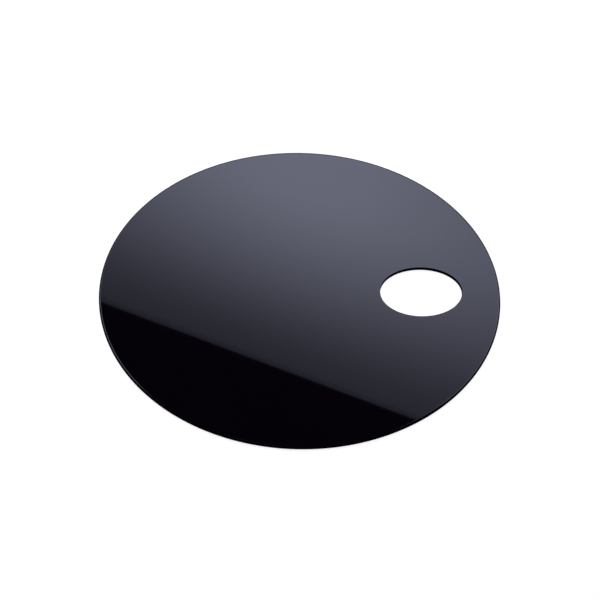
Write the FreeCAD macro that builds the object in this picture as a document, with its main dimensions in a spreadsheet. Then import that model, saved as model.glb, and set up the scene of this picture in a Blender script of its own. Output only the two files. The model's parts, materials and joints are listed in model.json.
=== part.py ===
import FreeCAD, Part
import os
import Sketcher

# A hand-held mixing palette: one flat oval plate of acrylic sheet, with an oval thumb hole near one end.
# The plate's edge is rounded and polished, and the hole's edges are broken with a small chamfer.
# Frame, in millimetres: the origin is under the middle of the plate, on the face that it lies on, +Z is up
# and +X runs along the plate's length towards the thumb hole.

# Driving dimensions: name, value in millimetres, what it measures
SIZES = [
    ("plate_length", 200.0, "the plate along X"),
    ("plate_width", 180.0, "the plate along Y"),
    ("sheet_thickness", 2.0, "the acrylic sheet"),
    ("edge_land", 0.1, "flat strip left halfway up the plate's edge, between its two roundings"),
    ("hole_length", 41.0, "the thumb hole along X"),
    ("hole_width", 29.5, "the thumb hole along Y"),
    ("hole_web", 19.0, "sheet left between the thumb hole and the plate's end"),
    ("hole_chamfer", 0.2, "chamfer on the thumb hole's two edges"),
]
# The sheet's two faces each end in one rim round the plate and one round the hole
FACES = 2
# Sketcher's numbers for the sketch's origin and its X axis
ORIGIN = (-1, 1)
X_AXIS = -1


def make_size_sheet(doc):
    sheet = doc.addObject("Spreadsheet::Sheet", "Sizes")
    for row, (name, value, meaning) in enumerate(SIZES, start=1):
        sheet.set(f"A{row}", name)
        sheet.set(f"B{row}", str(value))
        sheet.setAlias(f"B{row}", name)
        sheet.set(f"C{row}", meaning)
    doc.recompute()
    return sheet


def start_sketch(body, name):
    sketch = body.newObject("Sketcher::SketchObject", name)
    ground = next(plane for plane in body.Origin.OriginFeatures if plane.Role == "XY_Plane")
    sketch.AttachmentSupport = (ground, [""])
    sketch.MapMode = "FlatFace"
    return sketch


def bind(sketch, constraint, name, formula):
    index = sketch.addConstraint(constraint)
    sketch.renameConstraint(index, name)
    sketch.setExpression(f"Constraints.{name}", formula)


def draw_oval(sketch, sheet, name_x, name_y):
    size_x = getattr(sheet, name_x)
    size_y = getattr(sheet, name_y)
    # With both axes alike the oval is a circle, which has no major axis to draw an ellipse by
    if size_x == size_y:
        circle = Part.Circle(FreeCAD.Vector(), FreeCAD.Vector(0, 0, 1), size_x / 2)
        oval = sketch.addGeometry(circle, False)
        bind(sketch, Sketcher.Constraint("Diameter", oval, size_x), name_x, f"Sizes.{name_x}")
    else:
        tip_x = FreeCAD.Vector(size_x / 2, 0, 0)
        tip_y = FreeCAD.Vector(0, size_y / 2, 0)
        lies_along_x = size_x > size_y
        major_tip, minor_tip = (tip_x, tip_y) if lies_along_x else (tip_y, tip_x)
        oval = sketch.addGeometry(Part.Ellipse(major_tip, minor_tip, FreeCAD.Vector()), False)
        sketch.exposeInternalGeometry(oval)
        major_axis, minor_axis = oval + 1, oval + 2
        axis_x, axis_y = (major_axis, minor_axis) if lies_along_x else (minor_axis, major_axis)
        sketch.addConstraint(Sketcher.Constraint("Horizontal", axis_x))
        bind(sketch, Sketcher.Constraint("Distance", axis_x, size_x), name_x, f"Sizes.{name_x}")
        bind(sketch, Sketcher.Constraint("Distance", axis_y, size_y), name_y, f"Sizes.{name_y}")
    # The middle of a circle or an ellipse is its third point
    return oval, 3


def sketch_outline(body, sheet):
    sketch = start_sketch(body, "outline")
    middle = draw_oval(sketch, sheet, "plate_length", "plate_width")
    sketch.addConstraint(Sketcher.Constraint("Coincident", *middle, *ORIGIN))
    return sketch


def sketch_thumb_hole(body, sheet):
    sketch = start_sketch(body, "thumb_hole")
    middle = draw_oval(sketch, sheet, "hole_length", "hole_width")
    sketch.addConstraint(Sketcher.Constraint("PointOnObject", *middle, X_AXIS))
    place = Sketcher.Constraint("DistanceX", *ORIGIN, *middle, sheet.hole_length)
    bind(sketch, place, "hole_place", "Sizes.plate_length / 2 - Sizes.hole_web - Sizes.hole_length / 2")
    return sketch


def list_rims(shape):
    # The closed edges, shortest first, so those round the hole come before those round the plate
    named = [(edge, f"Edge{number}") for number, edge in enumerate(shape.Edges, start=1)]
    closed = [(edge.Length, name) for edge, name in named if edge.isClosed()]
    return [name for _, name in sorted(closed)]


def make_palette_plate(doc, sheet):
    body = doc.addObject("PartDesign::Body", "palette_plate")
    body.Label = "palette_plate"

    plate = body.newObject("PartDesign::Pad", "plate")
    plate.Profile = sketch_outline(body, sheet)
    plate.setExpression("Length", "Sizes.sheet_thickness")
    doc.recompute()

    # The hole's sketch is on the underside, so the cut runs up through the sheet
    cut = body.newObject("PartDesign::Pocket", "thumb_hole_cut")
    cut.Profile = sketch_thumb_hole(body, sheet)
    cut.Type = "ThroughAll"
    cut.Reversed = True
    doc.recompute()
    if not cut.Shape.Volume < plate.Shape.Volume:
        raise RuntimeError("the thumb hole cuts nothing")

    rounding = body.newObject("PartDesign::Fillet", "plate_edge_rounding")
    rounding.Base = (cut, list_rims(cut.Shape)[-FACES:])
    rounding.setExpression("Radius", "(Sizes.sheet_thickness - Sizes.edge_land) / 2")
    doc.recompute()

    chamfer = body.newObject("PartDesign::Chamfer", "hole_edge_chamfer")
    chamfer.Base = (rounding, list_rims(rounding.Shape)[:FACES])
    chamfer.setExpression("Size", "Sizes.hole_chamfer")
    doc.recompute()
    return body


def check(doc, bodies):
    for item in doc.Objects:
        if {"Invalid", "Error"} & set(item.State):
            raise RuntimeError(f"{item.Label} failed: {item.State}")
    for body in bodies:
        if body.Shape.isNull() or not body.Shape.isValid():
            raise RuntimeError(f"{body.Label} has no valid shape")


def write(bodies):
    os.makedirs("parts", exist_ok=True)
    for body in bodies:
        body.Shape.exportStep(f"parts/{body.Label}.step")


def main():
    doc = FreeCAD.newDocument("mixing_palette")
    sheet = make_size_sheet(doc)
    bodies = [make_palette_plate(doc, sheet)]
    check(doc, bodies)
    write(bodies)


main()
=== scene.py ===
"""Looks of a hand-held mixing palette: a gloss black acrylic plate with a thumb hole, on a white table."""
import json
import math

import bmesh
import bpy
from mathutils import Matrix, Quaternion, Vector


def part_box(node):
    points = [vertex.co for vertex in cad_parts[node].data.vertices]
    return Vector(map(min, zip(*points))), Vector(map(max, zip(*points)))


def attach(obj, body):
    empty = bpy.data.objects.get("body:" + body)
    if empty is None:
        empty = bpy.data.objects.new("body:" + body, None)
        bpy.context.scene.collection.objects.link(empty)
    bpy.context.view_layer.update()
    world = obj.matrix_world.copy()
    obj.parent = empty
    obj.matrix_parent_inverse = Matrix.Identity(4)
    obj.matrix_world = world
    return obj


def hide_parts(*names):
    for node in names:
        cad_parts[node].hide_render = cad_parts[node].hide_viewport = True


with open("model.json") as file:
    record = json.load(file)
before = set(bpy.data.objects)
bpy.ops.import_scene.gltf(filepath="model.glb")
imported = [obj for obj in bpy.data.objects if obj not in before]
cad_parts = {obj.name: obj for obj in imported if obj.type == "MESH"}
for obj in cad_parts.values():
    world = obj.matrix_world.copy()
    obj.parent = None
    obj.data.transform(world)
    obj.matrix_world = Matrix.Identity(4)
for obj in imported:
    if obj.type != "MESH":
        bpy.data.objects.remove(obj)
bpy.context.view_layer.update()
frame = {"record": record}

# The plate, in metres. Its outline, thickness and the hole's place come from the frame
EDGE_ROUNDING = 0.00095
HOLE_LENGTH = 0.041
HOLE_WIDTH = 0.0295
HOLE_CHAMFER = 0.0002
# What lies within this share of the hole's length and width from its middle belongs to its cut
HOLE_REACH = 0.512
# Flat strip beside each rim that keeps the faces' shading level right up to the rounding
RIM_STRIP = 0.00006
# Steps round each rim, across the faces from hole to rim, and over the rounding and the chamfer
RIM_STEPS = 320
FACE_STEPS = 8
ROUNDING_STEPS = 12
CHAMFER_STEPS = 2
# An edge that turns more than this is a corner of the sheet
CORNER_TURN = math.radians(60)
# How far a face's normal rises, from 0 to 1: a face is level above the first, and below the second it belongs
# to the middle of the cut, which stays dull
LEVEL_RISE = 0.999
CUT_RISE = 0.955

# The acrylic, in linear colours: its own black, and the greyer black of its clouds
ACRYLIC_BLACK = (0.0015, 0.0007, 0.0022, 1)
ACRYLIC_CLOUDED = (0.0020, 0.0010, 0.0028, 1)
ACRYLIC_IOR = 1.49
# Clouds and lines in its finishes: how many fit in a metre along each axis, and how finely they are detailed
FACE_CLOUDS = ((28, 28, 28), 3)
FACE_HAIRLINES = ((60, 2600, 60), 2)
ROUNDING_CLOUDS = ((60, 60, 60), 3)
ROUNDING_BUFFING = ((90, 90, 9000), 2)
CUT_CLOUDS = ((120, 120, 120), 3)
CUT_LINES = ((60, 60, 5000), 3)
# Roughness, from 0 for a mirror to 1: the least, and what the clouds and the lines add to it
FACE_ROUGHNESS = (0.010, 0.008, 0.008)
ROUNDING_ROUGHNESS = (0.05, 0.04, 0.05)
CUT_ROUGHNESS = (0.38, 0.12, 0.1)
# Relief of the lines: its strength, and its depth in metres
BUFFING_RELIEF = (0.25, 0.000004)
CUTTER_RELIEF = (0.4, 0.00001)

# The camera, as the photograph's view has it
CAMERA_AIM = Vector((-0.00024, -0.0040, 0.002))
CAMERA_AZIMUTH = math.radians(-5)
CAMERA_ELEVATION = math.radians(54.87)
CAMERA_DISTANCE = 1.1513
CAMERA_ROLL = math.radians(3.27)
CAMERA_LENS = 139.0

# The studio, in metres, with strengths where 1 is white. First the table: its paint takes the lamplight, and
# it adds a white of its own, a little less near the plate and full white further out
FLOOR_RADIUS = 5.0
FLOOR_STEPS = 64
FLOOR_GAP = 0.0002
FLOOR_PAINT = 0.3
FLOOR_ROUGHNESS = 0.9
FLOOR_LIFT = 0.84
FLOOR_FADE = (0.3, 1.5)
# A mirrored ray that meets the table within this length comes from the plate's underside
UNDERSIDE_REACH = 0.003
# The scrim behind the table: even light, a bright patch that grows downwards, and a dimmer hem at the top
SCRIM_DISTANCE = 2.0
SCRIM_SIZE = (1.6, 0.45)
SCRIM_TIP = math.radians(17.26)
SCRIM_TOP = 0.0972
SCRIM_TINT = (0.962, 1.007, 1.338)
SCRIM_EVEN_STRENGTH = 0.473
SCRIM_BRIGHT_STRENGTH = 2.71
SCRIM_RAMP = 0.2605
SCRIM_BRIGHT_PLACE = -0.05
SCRIM_SPREAD = 0.376
SCRIM_HEM = 0.011
SCRIM_HEM_STRENGTH = 0.66
# Softboxes beside the scrim and overhead: name, size, then degrees round from the scrim, up and tipped over.
# Each is graded across its cloth: the way in degrees from its own right, from where to where, and the
# strengths there
SOFTBOX_DISTANCE = 2.0
SOFTBOX_TINT = (1.0, 0.98, 1.34)
SOFTBOXES = [
    ("left_softbox", (2.6, 2.25), 56.5, 32.8, 17.6, 211, (-0.27, 0.0), (2.3, 0.15)),
    ("right_softbox", (0.95, 0.9), -42.7, 52.1, 4.6, 90, (-0.45, 0.45), (3.6, 2.0)),
    ("overhead_softbox", (0.64, 0.64), 0, 88, 0, 145, (0.0, 0.32), (0.03, 0.85)),
]
# The lamp overhead: its size and height, and its power in watts
FILL_SIZE = 1.8
FILL_HEIGHT = 2.4
FILL_POWER = 34
# How quickly the pale skyline darkens away from the horizon
SKYLINE_FALL = 10
# Soft panels round the studio: how many, how bright, and how softly they end sideways. Low ones stand all
# round and end by a direction's upward part. Tall ones stand round the front and end by the upward part plus
# a share of the backward part, and by the backward part alone
WALL_PANELS = 8
WALL_STRENGTH = 0.8
WALL_EDGE = (-0.6, 0.6)
WALL_LOW = (0.62, 0.5)
WALL_LEAN = 0.5
WALL_TOP = (0.8, 0.5)
WALL_BACK = (0.78, 0.55)


class Value:
    """A shader socket that Python's operators work on, each of which adds a Math node."""

    def __init__(self, nodes, socket):
        self.nodes = nodes
        self.socket = socket

    def __add__(self, other):
        return self.nodes.math("ADD", self, other)

    def __sub__(self, other):
        return self.nodes.math("SUBTRACT", self, other)

    def __rsub__(self, other):
        return self.nodes.math("SUBTRACT", other, self)

    def __mul__(self, other):
        return self.nodes.math("MULTIPLY", self, other)

    def __truediv__(self, other):
        return self.nodes.math("DIVIDE", self, other)

    def __rtruediv__(self, other):
        return self.nodes.math("DIVIDE", other, self)

    def __pow__(self, other):
        return self.nodes.math("POWER", self, other)

    __radd__ = __add__
    __rmul__ = __mul__

    def clamped(self):
        return self.nodes.math("MINIMUM", self.nodes.math("MAXIMUM", self, 0), 1)


class Nodes:
    """The node tree of a material or of the world."""

    def __init__(self, owner):
        owner.use_nodes = True
        self.tree = owner.node_tree
        self.tree.nodes.clear()

    def add(self, kind, settings=None, inputs=None):
        """Adds a node, sets its settings and then its inputs, and returns its outputs by name."""
        node = self.tree.nodes.new(kind)
        for name, setting in (settings or {}).items():
            setattr(node, name, setting)
        for name, value in (inputs or {}).items():
            if isinstance(name, int):
                socket = node.inputs[name]
            else:
                socket = next(s for s in node.inputs if s.enabled and s.name == name)
            if isinstance(value, Value):
                self.tree.links.new(value.socket, socket)
            else:
                socket.default_value = value
        return {socket.name: Value(self, socket) for socket in node.outputs if socket.enabled}

    def math(self, operation, *values):
        return self.add("ShaderNodeMath", {"operation": operation}, dict(enumerate(values)))["Value"]

    def mix(self, factor, first, second):
        """Goes from the first colour to the second while the factor goes from 0 to 1."""
        inputs = {"Factor": factor, "A": first, "B": second}
        return self.add("ShaderNodeMix", {"data_type": "RGBA"}, inputs)["Result"]

    def ramp(self, value, start, end, low=0, high=1, easing="SMOOTHSTEP"):
        """Goes from low to high while the value goes from start to end."""
        return self.add("ShaderNodeMapRange", {"interpolation_type": easing}, {
            "Value": value,
            "From Min": start,
            "From Max": end,
            "To Min": low,
            "To Max": high,
        })["Result"]

    def place(self):
        return self.add("ShaderNodeTexCoord")["Object"]

    def axes(self, vector):
        return self.add("ShaderNodeSeparateXYZ", {}, {"Vector": vector})

    def noise(self, place, spots, detail):
        """Noise from 0 to 1, with so many spots in a metre along each axis."""
        mapped = self.add("ShaderNodeMapping", {"vector_type": "POINT"}, {"Vector": place, "Scale": spots})
        inputs = {"Vector": mapped["Vector"], "Scale": 1, "Detail": detail}
        return self.add("ShaderNodeTexNoise", {}, inputs)["Fac"]

    def relief(self, height, strength, depth):
        inputs = {"Strength": strength, "Distance": depth, "Height": height}
        return self.add("ShaderNodeBump", {}, inputs)["Normal"]

    def principled(self, inputs):
        return self.add("ShaderNodeBsdfPrincipled", {}, inputs)["BSDF"]

    def glow(self, tint, strength):
        """Light of one tint, whose strength may change over the surface."""
        scaled = self.add("ShaderNodeVectorMath", {"operation": "SCALE"}, {"Vector": tint, "Scale": strength})
        return self.add("ShaderNodeEmission", {}, {"Color": scaled["Vector"]})["Emission"]

    def show(self, shader):
        """Ends a material with the shader that it shows."""
        self.add("ShaderNodeOutputMaterial", {}, {"Surface": shader})


def make_material(name):
    material = bpy.data.materials.new(name)
    return material, Nodes(material)


def grey(level):
    return (level, level, level, 1)


def link_object(name, data):
    made = bpy.data.objects.new(name, data)
    bpy.context.scene.collection.objects.link(made)
    return made


def make_mesh(name, mesh, *materials):
    """Turns a bmesh into an object with these materials."""
    data = bpy.data.meshes.new(name)
    mesh.to_mesh(data)
    mesh.free()
    for material in materials:
        data.materials.append(material)
    return link_object(name, data)


def acrylic_look(nodes, clouds, lines, roughness):
    """What every finish of the acrylic sets on its shader, and the lines in that finish."""
    place = nodes.place()
    cloud = nodes.noise(place, *clouds)
    line = nodes.noise(place, *lines)
    least, from_clouds, from_lines = roughness
    return {
        "Base Color": nodes.mix(cloud, ACRYLIC_BLACK, ACRYLIC_CLOUDED),
        "Roughness": least + from_clouds * cloud + from_lines * line,
    }, line


def gloss_black_acrylic():
    """The sheet's faces: deep gloss black, faintly clouded, with hairlines from wiping."""
    material, nodes = make_material("gloss_black_acrylic")
    look, _ = acrylic_look(nodes, FACE_CLOUDS, FACE_HAIRLINES, FACE_ROUGHNESS)
    nodes.show(nodes.principled(look | {"IOR": ACRYLIC_IOR}))
    return material


def polished_rounding():
    """The start of the rounded edge: buffed to a gloss along the rim, which leaves fine lines."""
    material, nodes = make_material("polished_rounding")
    look, buffing = acrylic_look(nodes, ROUNDING_CLOUDS, ROUNDING_BUFFING, ROUNDING_ROUGHNESS)
    normal = nodes.relief(buffing, *BUFFING_RELIEF)
    nodes.show(nodes.principled(look | {"IOR": ACRYLIC_IOR, "Normal": normal}))
    return material


def dull_cut_edge():
    """The middle of the cut, which the buffing doesn't reach: dull, with the cutter's lines along it."""
    material, nodes = make_material("dull_cut_edge")
    look, cutter_lines = acrylic_look(nodes, CUT_CLOUDS, CUT_LINES, CUT_ROUGHNESS)
    normal = nodes.relief(cutter_lines, *CUTTER_RELIEF)
    nodes.show(nodes.principled(look | {"Specular IOR Level": 0, "Normal": normal}))
    return material


def add_oval(mesh, centre, length, width):
    place = Matrix.Translation(centre) @ Matrix.Diagonal((length / 2, width / 2, 1, 1))
    bmesh.ops.create_circle(mesh, segments=RIM_STEPS, radius=1, matrix=place)


def draw_sheet(mesh, low, high, hole_centre):
    """Draws the underside as a band from the hole's rim to the plate's, and raises the sheet from it."""
    length, width, thickness = high - low
    add_oval(mesh, Vector((0, 0, low.z)), length, width)
    add_oval(mesh, hole_centre, HOLE_LENGTH, HOLE_WIDTH)
    band = bmesh.ops.bridge_loops(mesh, edges=mesh.edges[:])
    bmesh.ops.subdivide_edges(mesh, edges=band["edges"], cuts=FACE_STEPS - 1)
    raised = bmesh.ops.extrude_face_region(mesh, geom=mesh.faces[:], use_keep_orig=True)["geom"]
    raised_points = [item for item in raised if isinstance(item, bmesh.types.BMVert)]
    bmesh.ops.translate(mesh, vec=(0, 0, thickness), verts=raised_points)
    bmesh.ops.recalc_face_normals(mesh, faces=mesh.faces[:])


def is_level(face):
    return abs(face.normal.z) > LEVEL_RISE


def soften_corners(mesh, is_at_hole):
    """Rounds the plate's edge and chamfers the hole's, top and bottom alike."""
    corners = [edge for edge in mesh.edges if edge.calc_face_angle() > CORNER_TURN]
    hole_corners = [edge for edge in corners if is_at_hole(edge)]
    plate_corners = [edge for edge in corners if not is_at_hole(edge)]
    for edges, offset, steps in (
        (plate_corners, EDGE_ROUNDING, ROUNDING_STEPS),
        (hole_corners, HOLE_CHAMFER, CHAMFER_STEPS),
    ):
        bmesh.ops.bevel(
            mesh, geom=edges, offset=offset, affect="EDGES", segments=steps, profile=0.5, material=-1
        )
    mesh.normal_update()
    level_faces = [face for face in mesh.faces if is_level(face)]
    bmesh.ops.inset_region(mesh, faces=level_faces, thickness=RIM_STRIP, use_even_offset=True)
    mesh.normal_update()


def make_plate():
    low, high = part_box("palette_plate")
    hole_mount = next(mount for mount in frame["record"]["mounts"] if mount["name"] == "thumb_hole")
    hole_centre = Vector((*hole_mount["pos_m"][:2], low.z))

    def is_at_hole(item):
        middle = sum((vert.co for vert in item.verts), Vector()) / len(item.verts) - hole_centre
        return math.hypot(middle.x / HOLE_LENGTH, middle.y / HOLE_WIDTH) < HOLE_REACH

    mesh = bmesh.new()
    draw_sheet(mesh, low, high, hole_centre)
    soften_corners(mesh, is_at_hole)

    # The finishes' numbers are their places in the plate's list of materials
    face_finish, rounding_finish, cut_finish = range(3)
    for face in mesh.faces:
        face.smooth = True
        if is_level(face):
            face.material_index = face_finish
        elif abs(face.normal.z) > CUT_RISE and not is_at_hole(face):
            face.material_index = rounding_finish
        else:
            face.material_index = cut_finish

    plate = make_mesh("plate", mesh, gloss_black_acrylic(), polished_rounding(), dull_cut_edge())
    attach(plate, "root")
    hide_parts("palette_plate")


def white_table():
    """White for the camera and in reflections, but see-through from below and for the underside's gloss."""
    material, nodes = make_material("white_table")
    path = nodes.add("ShaderNodeLightPath")
    seen = (path["Is Camera Ray"] + path["Is Glossy Ray"] + path["Is Transmission Ray"]).clamped()
    from_below = nodes.add("ShaderNodeNewGeometry")["Backfacing"]
    from_underside = path["Is Glossy Ray"] * nodes.math("LESS_THAN", path["Ray Length"], UNDERSIDE_REACH)
    unseen = (from_below + from_underside).clamped()
    distance = nodes.add("ShaderNodeVectorMath", {"operation": "LENGTH"}, {"Vector": nodes.place()})["Value"]
    # Further out less lamplight falls on the table, and its own white takes over
    lift = nodes.mix(nodes.ramp(distance, *FLOOR_FADE), grey(FLOOR_LIFT), grey(1))
    paint = nodes.principled({
        "Base Color": grey(FLOOR_PAINT),
        "Roughness": FLOOR_ROUGHNESS,
        "Specular IOR Level": 0,
        "Emission Color": lift,
        "Emission Strength": seen,
    })
    clear = nodes.add("ShaderNodeBsdfTransparent")["BSDF"]
    nodes.show(nodes.add("ShaderNodeMixShader", {}, {0: unseen, 1: paint, 2: clear})["Shader"])
    return material


def make_floor():
    mesh = bmesh.new()
    bmesh.ops.create_circle(mesh, cap_ends=True, segments=FLOOR_STEPS, radius=FLOOR_RADIUS)
    bmesh.ops.translate(mesh, vec=(0, 0, -FLOOR_GAP), verts=mesh.verts[:])
    make_mesh("table_top", mesh, white_table())


def direction(azimuth, elevation):
    """The way from the plate to something seen at that azimuth, where 0 is in front of it, towards -Y."""
    level = math.cos(elevation)
    return Vector((math.sin(azimuth) * level, -math.cos(azimuth) * level, math.sin(elevation)))


def facing_back(towards, tip):
    """Turns a panel to face the plate that it is seen from, tipped over anticlockwise."""
    return ((-towards).to_track_quat("Z", "Y") @ Quaternion((0, 0, 1), tip)).to_matrix().to_4x4()


def make_panel(name, size, place, material):
    """A flat light that the camera doesn't see, but the gloss does."""
    mesh = bmesh.new()
    bmesh.ops.create_grid(mesh, x_segments=1, y_segments=1, size=0.5)
    bmesh.ops.scale(mesh, vec=(*size, 1), verts=mesh.verts[:])
    panel = make_mesh(name, mesh, material)
    panel.matrix_world = place
    panel.visible_camera = False


def scrim_glow():
    """An evenly lit cloth with a bright patch that grows from its upper edge down and fades to both sides."""
    material, nodes = make_material("scrim_glow")
    axes = nodes.axes(nodes.place())
    below_top = SCRIM_SIZE[1] / 2 - axes["Y"]
    hem = nodes.ramp(below_top, 0, SCRIM_HEM, SCRIM_HEM_STRENGTH)
    across = (axes["X"] - SCRIM_BRIGHT_PLACE) / SCRIM_SPREAD
    patch = nodes.ramp(below_top, 0, SCRIM_RAMP) / (1 + across * across)
    nodes.show(nodes.glow(SCRIM_TINT, hem * (SCRIM_EVEN_STRENGTH + SCRIM_BRIGHT_STRENGTH * patch)))
    return material


def make_scrim():
    """The light behind the table that the plate mirrors towards the camera."""
    mirrored = direction(CAMERA_AZIMUTH + math.pi, CAMERA_ELEVATION)
    centre = Matrix.Translation(CAMERA_AIM + mirrored * SCRIM_DISTANCE)
    drop = Matrix.Translation((0, SCRIM_TOP - SCRIM_SIZE[1] / 2, 0))
    make_panel("scrim", SCRIM_SIZE, centre @ facing_back(mirrored, SCRIM_TIP) @ drop, scrim_glow())


def softbox_glow(name, grade_degrees, places, strengths):
    """A lit cloth whose light changes evenly from one place to another across it."""
    material, nodes = make_material(f"{name}_glow")
    axes = nodes.axes(nodes.place())
    way = math.radians(grade_degrees)
    along = math.cos(way) * axes["X"] + math.sin(way) * axes["Y"]
    nodes.show(nodes.glow(SOFTBOX_TINT, nodes.ramp(along, *places, *strengths, easing="LINEAR")))
    return material


def make_softboxes():
    """Lights beside the scrim, which the plate's rounded edge mirrors as thin lines, and one overhead."""
    for name, size, round_degrees, up_degrees, tip_degrees, *grade in SOFTBOXES:
        towards = direction(math.pi + math.radians(round_degrees), math.radians(up_degrees))
        centre = Matrix.Translation(towards * SOFTBOX_DISTANCE)
        turn = facing_back(towards, math.radians(tip_degrees))
        make_panel(name, size, centre @ turn, softbox_glow(name, *grade))


def make_fill():
    """A wide overhead lamp that lights the table softly and stays out of the gloss."""
    lamp = bpy.data.lights.new("fill", "AREA")
    lamp.shape = "DISK"
    lamp.size = FILL_SIZE
    lamp.energy = FILL_POWER
    fill = link_object("fill", lamp)
    fill.location = (0, 0, FILL_HEIGHT)
    fill.visible_camera = False
    fill.visible_glossy = False


def make_world():
    """White for the camera. For the gloss, a dark studio with a pale skyline and soft panels round it."""
    world = bpy.data.worlds.new("studio")
    bpy.context.scene.world = world
    nodes = Nodes(world)
    axes = nodes.axes(nodes.add("ShaderNodeTexCoord")["Generated"])
    path = nodes.add("ShaderNodeLightPath")
    skyline = (1 - nodes.math("ABSOLUTE", axes["Z"])) ** SKYLINE_FALL
    turns = WALL_PANELS * nodes.math("ARCTAN2", axes["X"], axes["Y"])
    panels = nodes.ramp(nodes.math("SINE", turns), *WALL_EDGE)
    low = nodes.ramp(axes["Z"], *WALL_LOW)
    tall = nodes.ramp(axes["Z"] + WALL_LEAN * axes["Y"], *WALL_TOP) * nodes.ramp(axes["Y"], *WALL_BACK)
    mirrored = skyline + WALL_STRENGTH * panels * nodes.math("MAXIMUM", low, tall) * path["Is Glossy Ray"]
    strength = path["Is Camera Ray"] + (1 - path["Is Camera Ray"]) * mirrored
    sky = nodes.add("ShaderNodeBackground", {}, {"Color": grey(1), "Strength": strength})["Background"]
    nodes.add("ShaderNodeOutputWorld", {}, {"Surface": sky})


def make_camera():
    back = direction(CAMERA_AZIMUTH, CAMERA_ELEVATION)
    data = bpy.data.cameras.new("camera")
    data.lens = CAMERA_LENS
    camera = link_object("camera", data)
    camera.location = CAMERA_AIM + back * CAMERA_DISTANCE
    camera.rotation_mode = "QUATERNION"
    camera.rotation_quaternion = (-back).to_track_quat("-Z", "Y") @ Quaternion((0, 0, 1), CAMERA_ROLL)
    bpy.context.scene.camera = camera


bpy.context.scene.view_settings.view_transform = "Standard"
make_plate()
make_floor()
make_scrim()
make_softboxes()
make_fill()
make_world()
make_camera()
